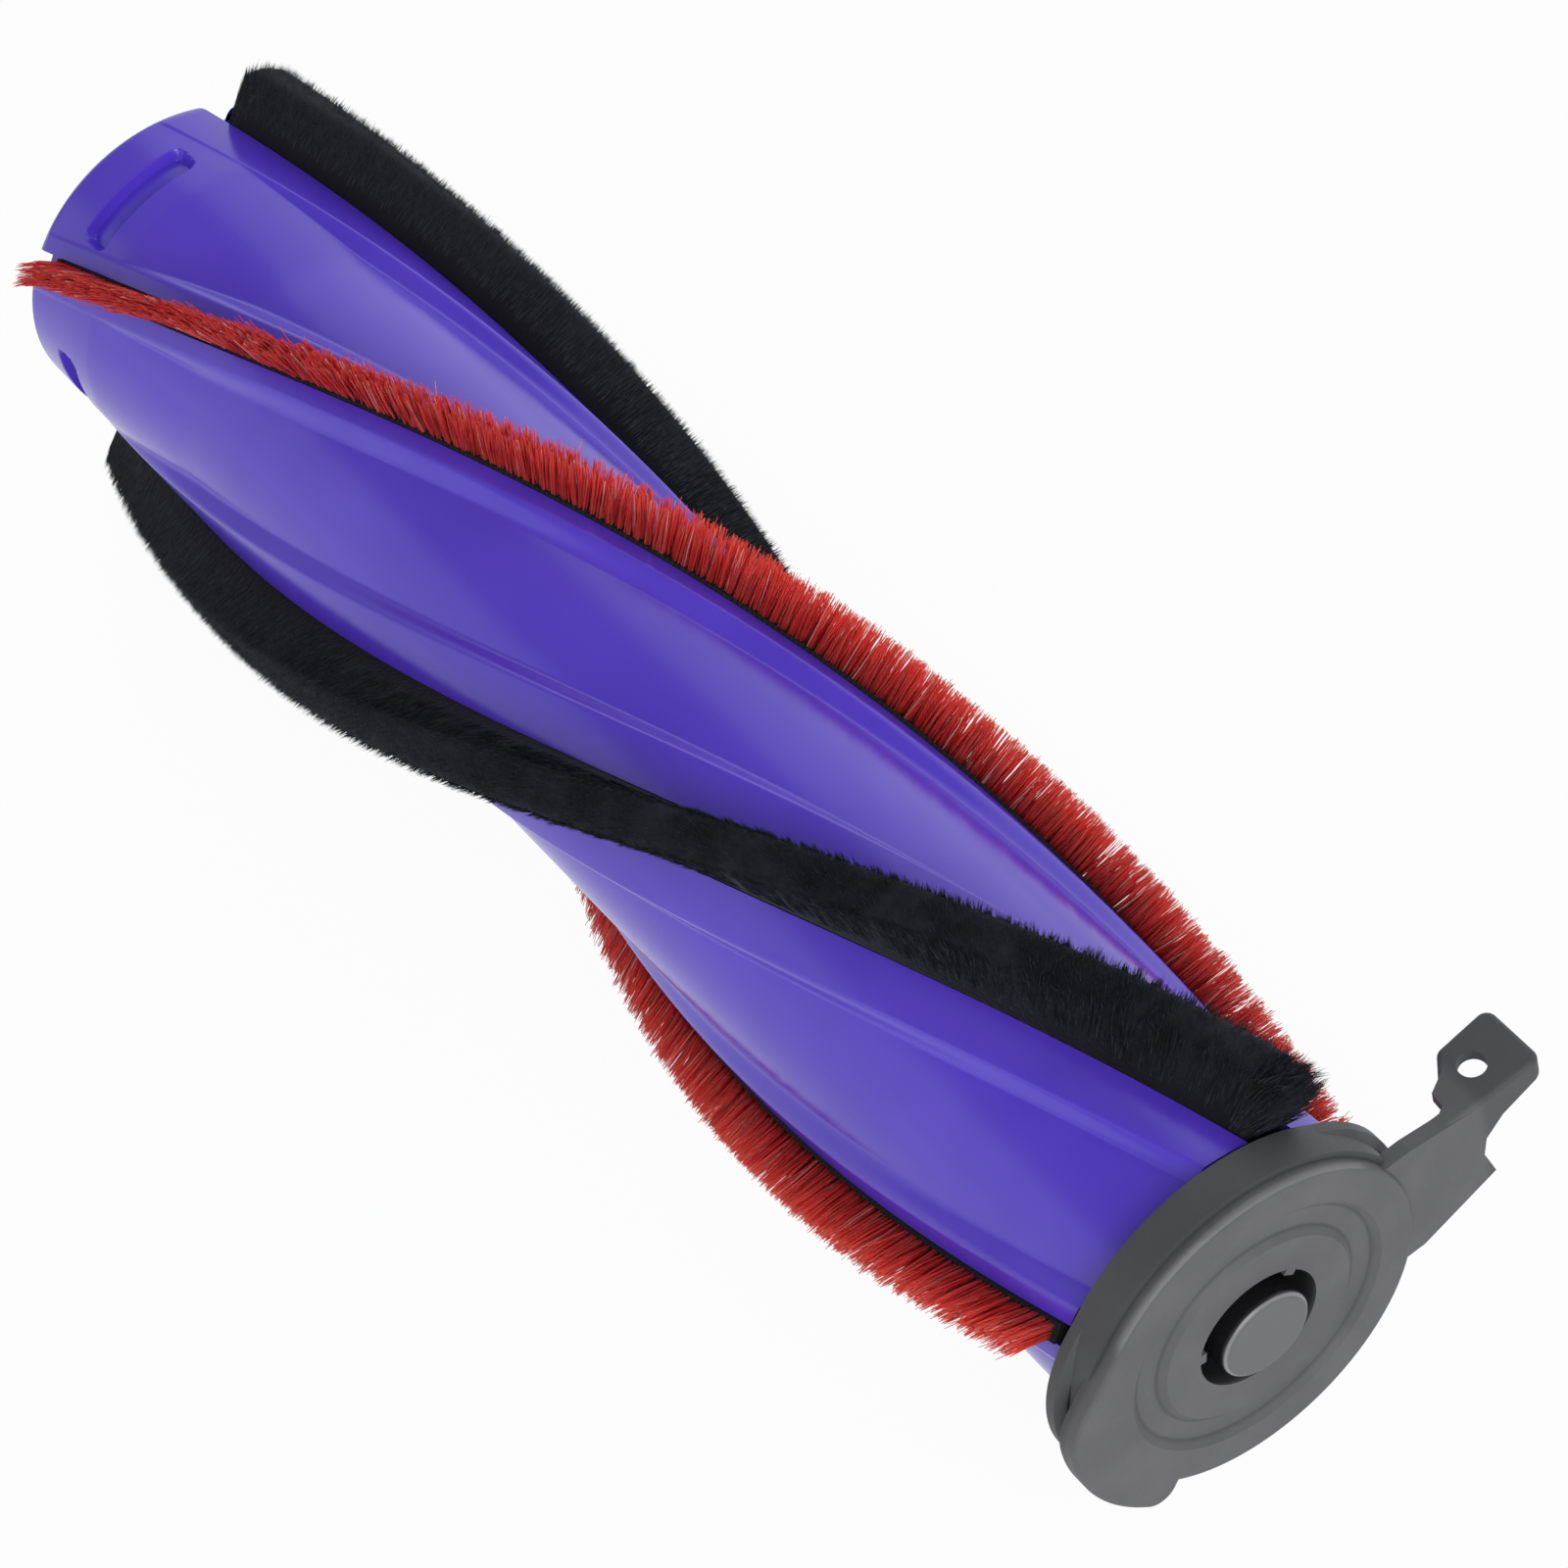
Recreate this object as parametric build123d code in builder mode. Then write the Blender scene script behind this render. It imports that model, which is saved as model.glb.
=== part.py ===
"""Vacuum cleaner brush roller: a lobed helical tube with four bristle strips, turning on a ball
bearing carried by a fixed end cap. X runs along the roller from the open drive end to the cap."""

import os
from math import cos, radians, sin

from build123d import *

os.makedirs("parts", exist_ok=True)

# Overall lengths along the roller, the cap end measured back from the cap's face
LENGTH = 225.0
CAP_DEPTH = 7.4
SPIGOT_LENGTH = 2.8
STRIP_START = 5.4
STRIP_SETBACK = 1.0
TUBE_END = LENGTH - CAP_DEPTH
SPIGOT_END = TUBE_END + SPIGOT_LENGTH
STRIP_END = TUBE_END - STRIP_SETBACK

# Helix shared by the tube, its slots and the four strips
TWIST = -0.8025
START_ANGLE = 55.9

# Tube section
LAND_R = 22.0
VALLEY_R = 20.1
COLLAR_R = 21.85
COLLAR_X = 15.0
RUNOUT_X = 40.0
BORE_R = 16.8
MOUTH_R = 17.2
MOUTH_DEPTH = 50.0
SPIGOT_R = 19.5
RIM_ROUND = 2.2
CARBON_LAND = 24.0
CARBON_FLANK = 5.5
NYLON_LAND = 9.5
NYLON_FLANK = 7.5
RUNOUT_ROOT = 1.5
RUNOUT_SPREAD = 0.5

# Strip slots, measured from the axis
SLOT_FLOOR = 18.7
SLOT_SHOULDER = 20.55
CARBON_SLOT = 8.4
CARBON_NECK = 6.4
NYLON_SLOT = 5.4
NYLON_NECK = 3.2
SLIP = 0.12

# Strips
BACKING_TOP = 20.4
STEM_TOP = LAND_R + 0.4
CARBON_TIP_R = 31.0
CARBON_TIP_W = 6.6
NYLON_TIP_R = 28.6
NYLON_TIP_W = 3.6

# Snap pockets near the drive rim
POCKET_X = 9.2
POCKET_TURN = 55.0
POCKET_LENGTH = 16.6
POCKET_WIDTH = 4.2
POCKET_FLOOR = 20.35
POCKET_CORNER = 1.2

# Drive socket, pressed in behind the mouth
SOCKET_X = MOUTH_DEPTH + 2.0
SOCKET_LENGTH = 20.0
SOCKET_WALL = 2.2
SOCKET_WEB = 6.0
SOCKET_BOSS_R = 12.2
SOCKET_BOSS_BORE = 9.6
SOCKET_BOSS_START = 4.0
SOCKET_DOG_R = 7.2
SOCKET_RIB_R = 13.4

# Ball bearing, 8 x 22 x 7, and the plug that carries it
BEARING_SETBACK = 6.6
BEARING_X = TUBE_END - BEARING_SETBACK
BEARING_W = 7.0
BEARING_BORE = 4.0
BEARING_R = 11.0
INNER_LAND_R = 6.2
OUTER_LAND_R = 9.3
PITCH_R = 7.75
BALL_R = 1.98
GROOVE_R = 2.04
BALLS = 7
BEARING_FACE = BEARING_X + BEARING_W
PLUG_BACK = 8.0
PLUG_LIP = 2.0
PLUG_LIP_R = 8.6
PLUG_BORE = 9.8
PLUG_SKIN = 1.4
PLUG_SEAT = 2.2
WASHER_T = 0.6
WASHER_GAP = 0.2

# End cap
DISC_R = 22.1
DISC_T = 2.5
SKIRT_R = DISC_R + 0.8
SKIRT_WALL = 1.7
WINGS = ((8.0, 4.2, 3.0), (186.0, 4.9, 3.3))
WING_T = 2.4
SKIRT_GAP = 0.8
SKIRT_BACK = TUBE_END + SKIRT_GAP
LOBE_R = DISC_R + 3.7
RING_OUT = 17.3
RING_IN = 12.9
RING_DEPTH = 0.8
RING_SLOPE = 0.85
WELL_R = 8.1
WEB_T = 1.8
WEB_BACK = BEARING_FACE + WASHER_T + WASHER_GAP
WELL_FLOOR = WEB_BACK + WEB_T
HUB_R = 10.2
WEB_BORE = 5.0
ARM_DROP = 0.8
ARM_FACE = LENGTH - ARM_DROP
ARM_T = 2.0
TAB_TOP = 8.9
TAB_T = 1.6
TAB_END = 42.4
TAB_LENGTH = 9.4
TAB_BACK = ARM_FACE - TAB_LENGTH
TAB_CREASE = 0.7
TAB_HOLE = 1.75
TAB_HOLE_X = ARM_FACE - 4.5
TAB_HOLE_Y = TAB_END - 6.3

# Axle
BUTTON_R = 6.0
BUTTON_RISE = 1.6
BUTTON_FACE = LENGTH + BUTTON_RISE
BUTTON_WALL = 3.0
PIN_TAIL = 3.0
PIN_START = BEARING_X - PIN_TAIL
PIN_END = BUTTON_FACE - BUTTON_WALL
CLIP_T = 0.8
CLIP_GAP = 0.3
CLIP_X = BEARING_X - CLIP_GAP - CLIP_T
CLIP_R = 5.9
CLIP_GROOVE_R = 3.4
FELT_GAP = 0.4
FELT_BORE = HUB_R + 2.4


def angle_at(x, turn):
    """Angle of a strip at one place along the roller."""
    return START_ANGLE + turn + TWIST * x


def twisted(face, start, end):
    """Solid swept along the roller while its section turns with the helix."""
    run = end - start
    return Solid.extrude_linear_with_rotation(face, (start, 0, 0), (run, 0, 0), TWIST * run)


def polar(radius, angle):
    """Point of the tube section."""
    return (radius * cos(radians(angle)), radius * sin(radians(angle)))


def along(angle):
    """Direction of travel round the section."""
    return (-sin(radians(angle)), cos(radians(angle)))


def strip_backing(turn, wide, neck=0.0):
    """Base of a strip in the wide part of its slot, with a stem up through the neck if it has one."""
    low = SLOT_FLOOR + SLIP
    with BuildPart() as backing:
        with BuildSketch(Plane.YZ.offset(STRIP_START)) as section:
            with Locations(Location((0, 0, 0), (0, 0, angle_at(STRIP_START, turn)))):
                with Locations(((low + BACKING_TOP) / 2, 0)):
                    Rectangle(BACKING_TOP - low, wide - 2 * SLIP)
                if neck:
                    with Locations(((low + STEM_TOP) / 2, 0)):
                        Rectangle(STEM_TOP - low, neck - 2 * SLIP)
        add(twisted(section.sketch.face(), STRIP_START, STRIP_END))
    return backing.part


def strip_pile(turn, neck, foot_r, tip_r, tip_w):
    """Standing filaments of a strip, spreading a little towards their tips."""
    foot = neck / 2 - SLIP
    tip = tip_w / 2
    a = radians(angle_at(STRIP_START, turn))

    def spot(out, across):
        return (out * cos(a) - across * sin(a), out * sin(a) + across * cos(a))

    with BuildPart() as pile:
        with BuildSketch(Plane.YZ.offset(STRIP_START)) as section:
            with BuildLine():
                Polyline(
                    spot(tip_r - 0.35, -tip),
                    spot(max(LAND_R, foot_r) + 0.3, -foot),
                    spot(foot_r + 0.03, -foot),
                    spot(foot_r + 0.03, foot),
                    spot(max(LAND_R, foot_r) + 0.3, foot),
                    spot(tip_r - 0.35, tip),
                )
                ThreePointArc(spot(tip_r - 0.35, tip), spot(tip_r, 0), spot(tip_r - 0.35, -tip))
            make_face()
        add(twisted(section.sketch.face(), STRIP_START, STRIP_END))
    return pile.part


# Section of the tube: lands, valleys and the T-shaped slots that hold the strips
LANDS = (CARBON_LAND, NYLON_LAND)
FLANKS = (CARBON_FLANK, NYLON_FLANK)
with BuildSketch(Plane.YZ) as tube_section:
    with BuildLine():
        for k in range(4):
            here, there = k % 2, 1 - k % 2
            half = LANDS[here]
            mid = START_ANGLE + 90 * k
            out = mid + half
            low = out + FLANKS[here]
            top = mid + 90 - LANDS[there]
            rise = top - FLANKS[there]
            ThreePointArc(polar(LAND_R, mid - half), polar(LAND_R, mid), polar(LAND_R, out))
            Spline(polar(LAND_R, out), polar(VALLEY_R, low), tangents=(along(out), along(low)))
            ThreePointArc(
                polar(VALLEY_R, low), polar(VALLEY_R, (low + rise) / 2), polar(VALLEY_R, rise)
            )
            Spline(polar(VALLEY_R, rise), polar(LAND_R, top), tangents=(along(rise), along(top)))
    make_face()
    for k in range(4):
        wide = CARBON_SLOT if k % 2 == 0 else NYLON_SLOT
        neck = CARBON_NECK if k % 2 == 0 else NYLON_NECK
        with Locations(Location((0, 0, 0), (0, 0, START_ANGLE + 90 * k))):
            with Locations(((SLOT_FLOOR + SLOT_SHOULDER) / 2, 0)):
                Rectangle(SLOT_SHOULDER - SLOT_FLOOR, wide, mode=Mode.SUBTRACT)
            with Locations(((SLOT_SHOULDER + LAND_R) / 2, 0)):
                Rectangle(LAND_R - SLOT_SHOULDER + 0.6, neck, mode=Mode.SUBTRACT)

# Cone that lets the valleys run out into a round collar at the drive end
with BuildPart() as collar:
    with BuildSketch(Plane.XY):
        Polygon(
            (0, BORE_R - 1.8),
            (0, COLLAR_R),
            (COLLAR_X, COLLAR_R),
            (RUNOUT_X, VALLEY_R - 0.4),
            (RUNOUT_X, BORE_R - 1.8),
            align=None,
        )
    revolve(axis=Axis.X)

# Tube: twisted section, bore, spigot, run-outs, rounded rim and snap pockets
with BuildPart() as roller_tube:
    add(twisted(tube_section.sketch.face(), 0.0, TUBE_END))
    with BuildSketch(Plane.YZ.offset(-1.0)):
        Circle(BORE_R)
    extrude(amount=TUBE_END + 2.0, mode=Mode.SUBTRACT)
    with BuildSketch(Plane.YZ.offset(-1.0)):
        Circle(MOUTH_R)
    extrude(amount=MOUTH_DEPTH + 1.0, mode=Mode.SUBTRACT)
    with BuildSketch(Plane.YZ.offset(TUBE_END)):
        Circle(SPIGOT_R)
        Circle(BORE_R, mode=Mode.SUBTRACT)
    extrude(amount=SPIGOT_END - TUBE_END)
    for k in range(4):
        first = START_ANGLE + 90 * k + LANDS[k % 2] - RUNOUT_SPREAD
        last = START_ANGLE + 90 * k + 90 - LANDS[1 - k % 2] + RUNOUT_SPREAD
        root = VALLEY_R - RUNOUT_ROOT
        top = LAND_R + 1.0
        with BuildPart(mode=Mode.PRIVATE) as runout:
            with BuildSketch(Plane.YZ) as sector:
                with BuildLine():
                    Line(polar(root, first), polar(top, first))
                    ThreePointArc(polar(top, first), polar(top, (first + last) / 2), polar(top, last))
                    Line(polar(top, last), polar(root, last))
                    ThreePointArc(
                        polar(root, last), polar(root, (first + last) / 2), polar(root, first)
                    )
                make_face()
            add(twisted(sector.sketch.face(), 0.0, RUNOUT_X + 2.0))
            add(collar.part, mode=Mode.INTERSECT)
        add(runout.part)
    with BuildSketch(Plane.XY):
        with BuildLine():
            Line((-1, LAND_R - RIM_ROUND), (0, LAND_R - RIM_ROUND))
            RadiusArc((0, LAND_R - RIM_ROUND), (RIM_ROUND, LAND_R + 0.02), RIM_ROUND)
            Polyline(
                (RIM_ROUND, LAND_R + 0.02),
                (RIM_ROUND, LAND_R + 2),
                (-1, LAND_R + 2),
                (-1, LAND_R - RIM_ROUND),
            )
        make_face()
    revolve(axis=Axis.X, mode=Mode.SUBTRACT)
    for k in range(4):
        a = radians(angle_at(POCKET_X, POCKET_TURN + 90 * k))
        outward = Plane(origin=(POCKET_X, 0, 0), x_dir=(1, 0, 0), z_dir=(0, cos(a), sin(a)))
        with BuildPart(mode=Mode.PRIVATE) as pocket:
            with BuildSketch(outward.offset(BORE_R)):
                RectangleRounded(POCKET_WIDTH, POCKET_LENGTH, POCKET_CORNER)
            extrude(amount=10)
            with BuildSketch(Plane.YZ):
                Circle(POCKET_FLOOR)
            extrude(amount=30, mode=Mode.SUBTRACT)
        add(pocket.part, mode=Mode.SUBTRACT)
roller_tube.part.label = "roller_tube"
export_step(roller_tube.part, "parts/roller_tube.step")

# Two carbon strips and two nylon strips, a quarter turn apart
for number, turn in ((1, 0), (2, 180)):
    carbon_backing = strip_backing(turn, CARBON_SLOT)
    carbon_backing.label = f"carbon_backing_{number}"
    export_step(carbon_backing, f"parts/carbon_backing_{number}.step")
    carbon_pile = strip_pile(turn, CARBON_NECK, BACKING_TOP, CARBON_TIP_R, CARBON_TIP_W)
    carbon_pile.label = f"carbon_pile_{number}"
    export_step(carbon_pile, f"parts/carbon_pile_{number}.step")
    nylon_backing = strip_backing(turn + 90, NYLON_SLOT, NYLON_NECK)
    nylon_backing.label = f"nylon_backing_{number}"
    export_step(nylon_backing, f"parts/nylon_backing_{number}.step")
    nylon_bristles = strip_pile(turn + 90, NYLON_NECK, STEM_TOP, NYLON_TIP_R, NYLON_TIP_W)
    nylon_bristles.label = f"nylon_bristles_{number}"
    export_step(nylon_bristles, f"parts/nylon_bristles_{number}.step")

# Drive socket pressed into the tube, with splines for the motor's dog
with BuildPart() as drive_socket:
    with BuildSketch(Plane.YZ.offset(SOCKET_X)):
        Circle(BORE_R)
        Circle(BORE_R - SOCKET_WALL, mode=Mode.SUBTRACT)
    extrude(amount=SOCKET_LENGTH)
    with BuildSketch(Plane.YZ.offset(SOCKET_X + SOCKET_LENGTH - SOCKET_WEB)):
        Circle(BORE_R - SOCKET_WALL + 0.4)
        Circle(SOCKET_DOG_R, mode=Mode.SUBTRACT)
        with PolarLocations(SOCKET_DOG_R + 0.4, 6):
            Rectangle(3.6, 3.0, mode=Mode.SUBTRACT)
    extrude(amount=SOCKET_WEB)
    boss_length = SOCKET_LENGTH - SOCKET_WEB - SOCKET_BOSS_START + 0.2
    with BuildSketch(Plane.YZ.offset(SOCKET_X + SOCKET_BOSS_START)):
        Circle(SOCKET_BOSS_R)
        Circle(SOCKET_BOSS_BORE, mode=Mode.SUBTRACT)
    extrude(amount=boss_length)
    with BuildSketch(Plane.YZ.offset(SOCKET_X + SOCKET_BOSS_START)):
        with PolarLocations(SOCKET_RIB_R, 6):
            Rectangle(3.2, 1.6)
    extrude(amount=boss_length)
drive_socket.part.label = "drive_socket"
export_step(drive_socket.part, "parts/drive_socket.step")

# Plug pressed into the cap end of the tube to carry the bearing
with BuildPart() as bearing_hub:
    with BuildSketch(Plane.XY):
        Polygon(
            (BEARING_X - PLUG_BACK, PLUG_LIP_R),
            (BEARING_X - PLUG_BACK, BORE_R),
            (BEARING_FACE, BORE_R),
            (BEARING_FACE, BORE_R - PLUG_SKIN),
            (BEARING_X + 2.0, BORE_R - PLUG_SKIN),
            (BEARING_X + 2.0, BEARING_R + PLUG_SEAT),
            (BEARING_FACE, BEARING_R + PLUG_SEAT),
            (BEARING_FACE, BEARING_R),
            (BEARING_X, BEARING_R),
            (BEARING_X, PLUG_BORE),
            (BEARING_X - PLUG_BACK + PLUG_LIP, PLUG_BORE),
            (BEARING_X - PLUG_BACK + PLUG_LIP, PLUG_LIP_R),
            align=None,
        )
    revolve(axis=Axis.X)
bearing_hub.part.label = "bearing_hub"
export_step(bearing_hub.part, "parts/bearing_hub.step")

# Ball bearing: two grooved rings, balls in a cage, and two shields
MID_X = BEARING_X + BEARING_W / 2
with BuildPart() as bearing_outer_ring:
    with BuildSketch(Plane.XY):
        with Locations((MID_X, (OUTER_LAND_R + BEARING_R) / 2)):
            Rectangle(BEARING_W, BEARING_R - OUTER_LAND_R)
    revolve(axis=Axis.X)
    chamfer(bearing_outer_ring.edges().filter_by(GeomType.CIRCLE).group_by(SortBy.RADIUS)[-1], 0.3)
    with BuildSketch(Plane.XY):
        with Locations((MID_X, PITCH_R)):
            Circle(GROOVE_R)
    revolve(axis=Axis.X, mode=Mode.SUBTRACT)
bearing_outer_ring.part.label = "bearing_outer_ring"
export_step(bearing_outer_ring.part, "parts/bearing_outer_ring.step")

with BuildPart() as bearing_inner_ring:
    with BuildSketch(Plane.XY):
        with Locations((MID_X, (BEARING_BORE + INNER_LAND_R) / 2)):
            Rectangle(BEARING_W, INNER_LAND_R - BEARING_BORE)
    revolve(axis=Axis.X)
    chamfer(bearing_inner_ring.edges().filter_by(GeomType.CIRCLE).group_by(SortBy.RADIUS)[0], 0.3)
    with BuildSketch(Plane.XY):
        with Locations((MID_X, PITCH_R)):
            Circle(GROOVE_R)
    revolve(axis=Axis.X, mode=Mode.SUBTRACT)
bearing_inner_ring.part.label = "bearing_inner_ring"
export_step(bearing_inner_ring.part, "parts/bearing_inner_ring.step")

BALL_PLACES = [
    (MID_X, PITCH_R * cos(radians(360 * k / BALLS)), PITCH_R * sin(radians(360 * k / BALLS)))
    for k in range(BALLS)
]
with BuildPart() as bearing_balls:
    with Locations(*BALL_PLACES):
        Sphere(BALL_R)
bearing_balls.part.label = "bearing_balls"
export_step(bearing_balls.part, "parts/bearing_balls.step")

with BuildPart() as bearing_cage:
    with BuildSketch(Plane.XY):
        with Locations((MID_X, PITCH_R)):
            Rectangle(5.2, 0.9)
    revolve(axis=Axis.X)
    with Locations(*BALL_PLACES):
        Sphere(BALL_R + 0.08, mode=Mode.SUBTRACT)
bearing_cage.part.label = "bearing_cage"
export_step(bearing_cage.part, "parts/bearing_cage.step")

for name, start in (("inner", BEARING_X + 0.1), ("outer", BEARING_FACE - 0.4)):
    with BuildPart() as shield:
        with BuildSketch(Plane.YZ.offset(start)):
            Circle(OUTER_LAND_R)
            Circle(INNER_LAND_R + 0.3, mode=Mode.SUBTRACT)
        extrude(amount=0.3)
    shield.part.label = f"bearing_shield_{name}"
    export_step(shield.part, f"parts/bearing_shield_{name}.step")

# End cap: disc with lobe, skirt, arm and drilled tab
with BuildPart() as end_cap:
    with BuildSketch(Plane.YZ.offset(LENGTH - DISC_T)):
        Circle(DISC_R)
        with BuildLine():
            Polyline((0, 0), polar(DISC_R, 142), polar(LOBE_R, 171))
            ThreePointArc(polar(LOBE_R, 171), polar(LOBE_R, 200), polar(LOBE_R, 231))
            Line(polar(LOBE_R, 231), (0, 0))
        make_face()
    extrude(amount=DISC_T)
    corners = end_cap.edges().filter_by(Axis.X)
    fillet(corners.sort_by_distance((LENGTH, *polar(LOBE_R, 171)))[0], 9.0)
    corners = end_cap.edges().filter_by(Axis.X)
    fillet(corners.sort_by_distance((LENGTH, *polar(LOBE_R, 231)))[0], 2.6)
    fillet(end_cap.faces().sort_by(Axis.X)[-1].edges(), 0.6)
    with BuildSketch(Plane.YZ.offset(SKIRT_BACK)):
        Circle(SKIRT_R)
        Circle(SKIRT_R - SKIRT_WALL, mode=Mode.SUBTRACT)
    extrude(amount=LENGTH - DISC_T + 0.6 - SKIRT_BACK)
    with BuildSketch(Plane.YZ.offset(ARM_FACE - ARM_T)):
        with BuildLine():
            Polyline(
                (DISC_R - 2.6, 9.6),
                (DISC_R + 1.4, 9.6),
                (TAB_END - 14.4, TAB_TOP),
                (TAB_END, TAB_TOP),
                (TAB_END, 6.0),
                (TAB_END - 6.2, 3.8),
                (TAB_END - 8.8, 1.6),
                (TAB_END - 9.4, -1.0),
                (TAB_END - 8.2, -5.4),
                (DISC_R + 1.3, -9.1),
                (DISC_R - 2.6, -9.1),
                (DISC_R - 2.6, 9.6),
            )
        make_face()
    extrude(amount=ARM_T)
    with BuildSketch(Plane.XY.offset(TAB_TOP - TAB_T)):
        with BuildLine():
            Polyline(
                (ARM_FACE, TAB_END),
                (TAB_BACK, TAB_END),
                (TAB_BACK + 0.8, TAB_END - 8.0),
                (ARM_FACE - 5.5, TAB_END - 10.4),
                (ARM_FACE - 4.6, TAB_END - 12.0),
                (ARM_FACE - 2.6, TAB_END - 12.2),
                (ARM_FACE - 1.6, TAB_END - 13.8),
                (ARM_FACE, TAB_END - 13.8),
                (ARM_FACE, TAB_END),
            )
        make_face()
        with Locations((TAB_HOLE_X, TAB_HOLE_Y)):
            Circle(TAB_HOLE, mode=Mode.SUBTRACT)
    extrude(amount=TAB_T)
    corners = [
        e
        for e in end_cap.edges().filter_by(Axis.Z)
        if e.center().Y > TAB_END - 8.4 and e.length > TAB_T - 0.2 and e.geom_type == GeomType.LINE
    ]
    fillet(corners, 1.4)
    crease = [
        e
        for e in end_cap.edges().filter_by(Axis.Y)
        if abs(e.center().X - ARM_FACE) < 0.01 and abs(e.center().Z - TAB_TOP) < 0.01
    ]
    fillet(crease, TAB_CREASE)
    for angle, off, inset in WINGS:
        with BuildPart(mode=Mode.PRIVATE) as wing:
            with BuildSketch(Plane.YZ.offset(SKIRT_BACK)):
                with Locations(polar(off, angle)):
                    Circle(SKIRT_R - inset)
            extrude(amount=WING_T)
            chamfer(wing.faces().sort_by(Axis.X)[-1].edges(), 1.0)
            with BuildSketch(Plane.YZ.offset(SKIRT_BACK - 1)):
                Circle(SKIRT_R - 0.8)
            extrude(amount=WING_T + 2, mode=Mode.SUBTRACT)
        add(wing.part)
    with BuildSketch(Plane.YZ.offset(WEB_BACK)):
        Circle(HUB_R)
    extrude(amount=LENGTH - DISC_T - WEB_BACK)
    with BuildSketch(Plane.YZ.offset(WELL_FLOOR)):
        Circle(WELL_R)
    extrude(amount=LENGTH, mode=Mode.SUBTRACT)
    with BuildSketch(Plane.YZ.offset(WEB_BACK - 1)):
        Circle(WEB_BORE)
    extrude(amount=LENGTH, mode=Mode.SUBTRACT)
    with BuildSketch(Plane.XY):
        Polygon(
            (LENGTH + 0.1, RING_OUT + 0.1),
            (LENGTH + 0.1, RING_IN - 0.1),
            (LENGTH, RING_IN - 0.1),
            (LENGTH - RING_DEPTH, RING_IN + RING_SLOPE),
            (LENGTH - RING_DEPTH, RING_OUT - RING_SLOPE),
            (LENGTH, RING_OUT + 0.1),
            align=None,
        )
    revolve(axis=Axis.X, mode=Mode.SUBTRACT)
    with BuildSketch(Plane.YZ.offset(LENGTH - 1.2)):
        with PolarLocations(WELL_R - 0.1, 3, start_angle=47):
            Rectangle(1.4, 1.5)
    extrude(amount=1.2)
end_cap.part.label = "end_cap"
export_step(end_cap.part, "parts/end_cap.step")

# Axle button standing in the well of the cap
with BuildPart() as axle_button:
    with BuildSketch(Plane.YZ.offset(WELL_FLOOR)):
        Circle(BUTTON_R)
    extrude(amount=BUTTON_FACE - WELL_FLOOR)
    fillet(axle_button.faces().sort_by(Axis.X)[-1].edges(), 0.8)
    with BuildSketch(Plane.YZ.offset(WEB_BACK - WASHER_GAP)):
        Circle(WEB_BORE)
    extrude(amount=WEB_T + WASHER_GAP)
    with BuildSketch(Plane.YZ.offset(WEB_BACK - 1)):
        Circle(BEARING_BORE)
    extrude(amount=PIN_END - WEB_BACK + 1, mode=Mode.SUBTRACT)
axle_button.part.label = "axle_button"
export_step(axle_button.part, "parts/axle_button.step")

# Steel stub axle with a groove for its clip
with BuildPart() as stub_axle:
    with BuildSketch(Plane.YZ.offset(PIN_START)):
        Circle(BEARING_BORE)
    extrude(amount=PIN_END - PIN_START)
    chamfer(stub_axle.faces().sort_by(Axis.X)[0].edges(), 0.5)
    with BuildSketch(Plane.YZ.offset(CLIP_X)):
        Circle(BEARING_BORE + 1)
        Circle(CLIP_GROOVE_R, mode=Mode.SUBTRACT)
    extrude(amount=CLIP_T + 0.1, mode=Mode.SUBTRACT)
stub_axle.part.label = "stub_axle"
export_step(stub_axle.part, "parts/stub_axle.step")

with BuildPart() as retaining_clip:
    with BuildSketch(Plane.YZ.offset(CLIP_X + 0.05)):
        Circle(CLIP_R)
        Circle(CLIP_GROOVE_R + 0.02, mode=Mode.SUBTRACT)
        with Locations((4.5, 0)):
            Rectangle(6, 2.6, mode=Mode.SUBTRACT)
    extrude(amount=CLIP_T)
retaining_clip.part.label = "retaining_clip"
export_step(retaining_clip.part, "parts/retaining_clip.step")

with BuildPart() as thrust_washer:
    with BuildSketch(Plane.YZ.offset(BEARING_FACE)):
        Circle(INNER_LAND_R - WASHER_GAP)
        Circle(BEARING_BORE, mode=Mode.SUBTRACT)
    extrude(amount=WASHER_T)
thrust_washer.part.label = "thrust_washer"
export_step(thrust_washer.part, "parts/thrust_washer.step")

with BuildPart() as felt_seal:
    with BuildSketch(Plane.YZ.offset(BEARING_FACE + SKIRT_GAP)):
        Circle(BORE_R - FELT_GAP)
        Circle(FELT_BORE, mode=Mode.SUBTRACT)
    extrude(amount=LENGTH - DISC_T - BEARING_FACE - SKIRT_GAP)
felt_seal.part.label = "felt_seal"
export_step(felt_seal.part, "parts/felt_seal.step")
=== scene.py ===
# %% [markdown]
# # A brush roller for a vacuum cleaner
# The roller is a purple moulded tube with four strips of bristles wound along it, turning on a
# bearing in a grey end cap. The CAD part gives every piece its size and place. This lesson adds
# what CAD leaves plain: thousands of separate bristles, a smooth moulded skin and real finishes.

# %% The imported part
from math import asin, atan2, degrees, hypot, pi, radians

import bpy
import numpy as np
from mathutils import Matrix, Vector


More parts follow.
